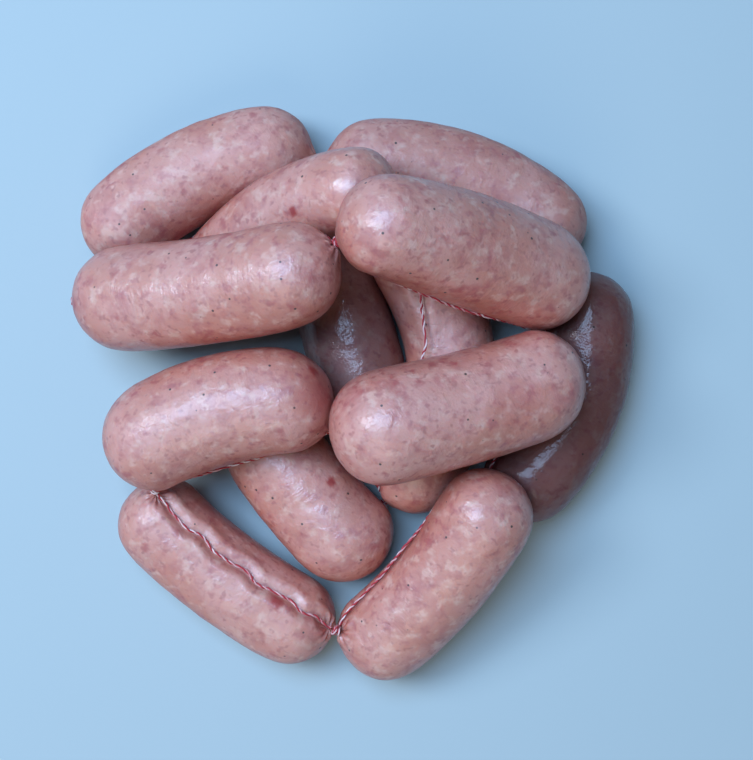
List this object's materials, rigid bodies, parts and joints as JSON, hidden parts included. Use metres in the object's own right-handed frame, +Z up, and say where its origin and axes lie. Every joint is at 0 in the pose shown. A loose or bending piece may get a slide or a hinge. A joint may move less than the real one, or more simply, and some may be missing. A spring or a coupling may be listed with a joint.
{
  "type": "string of sausage links",
  "caption": "String of raw sausage links in natural casing, tied end to end with twine and lying in a loose heap, one body as it lies.",
  "frame": {"origin": "centre of the heap's plan box, on the level that the lowest links rest on", "axes": "+Z up out of the heap, +X to the right of the picture, +Y to the top of the picture"},
  "size_m": [0.1942, 0.1984, 0.0872],
  "materials": {
    "sausage_skin": "moist natural casing over raw pork, soft gloss",
    "twine": "two-ply red and white cotton twine, damp",
    "knot": "red and white cotton twine wound tight, damp"
  },
  "bodies": {
    "root": {"link_01": "sausage_skin", "link_02": "sausage_skin", "link_03": "sausage_skin", "link_04": "sausage_skin", "link_05": "sausage_skin", "link_06": "sausage_skin", "link_07": "sausage_skin", "link_08": "sausage_skin", "link_09": "sausage_skin", "link_10": "sausage_skin", "link_11": "sausage_skin", "link_12": "sausage_skin", "link_13": "sausage_skin", "twine_01": "twine", "twine_02": "twine", "twine_03": "twine", "twine_04": "twine", "twine_05": "twine", "twine_06": "twine", "twine_07": "twine", "twine_08": "twine", "twine_09": "twine", "twine_10": "twine", "twine_11": "twine", "twine_12": "twine", "twine_13": "twine", "knot_01": "knot", "knot_02": "knot", "knot_03": "knot", "knot_04": "knot", "knot_05": "knot", "knot_06": "knot", "knot_07": "knot", "knot_08": "knot", "knot_09": "knot", "knot_10": "knot", "knot_11": "knot", "knot_12": "knot", "knot_13": "knot", "knot_14": "knot"}
  },
  "joints": []
}
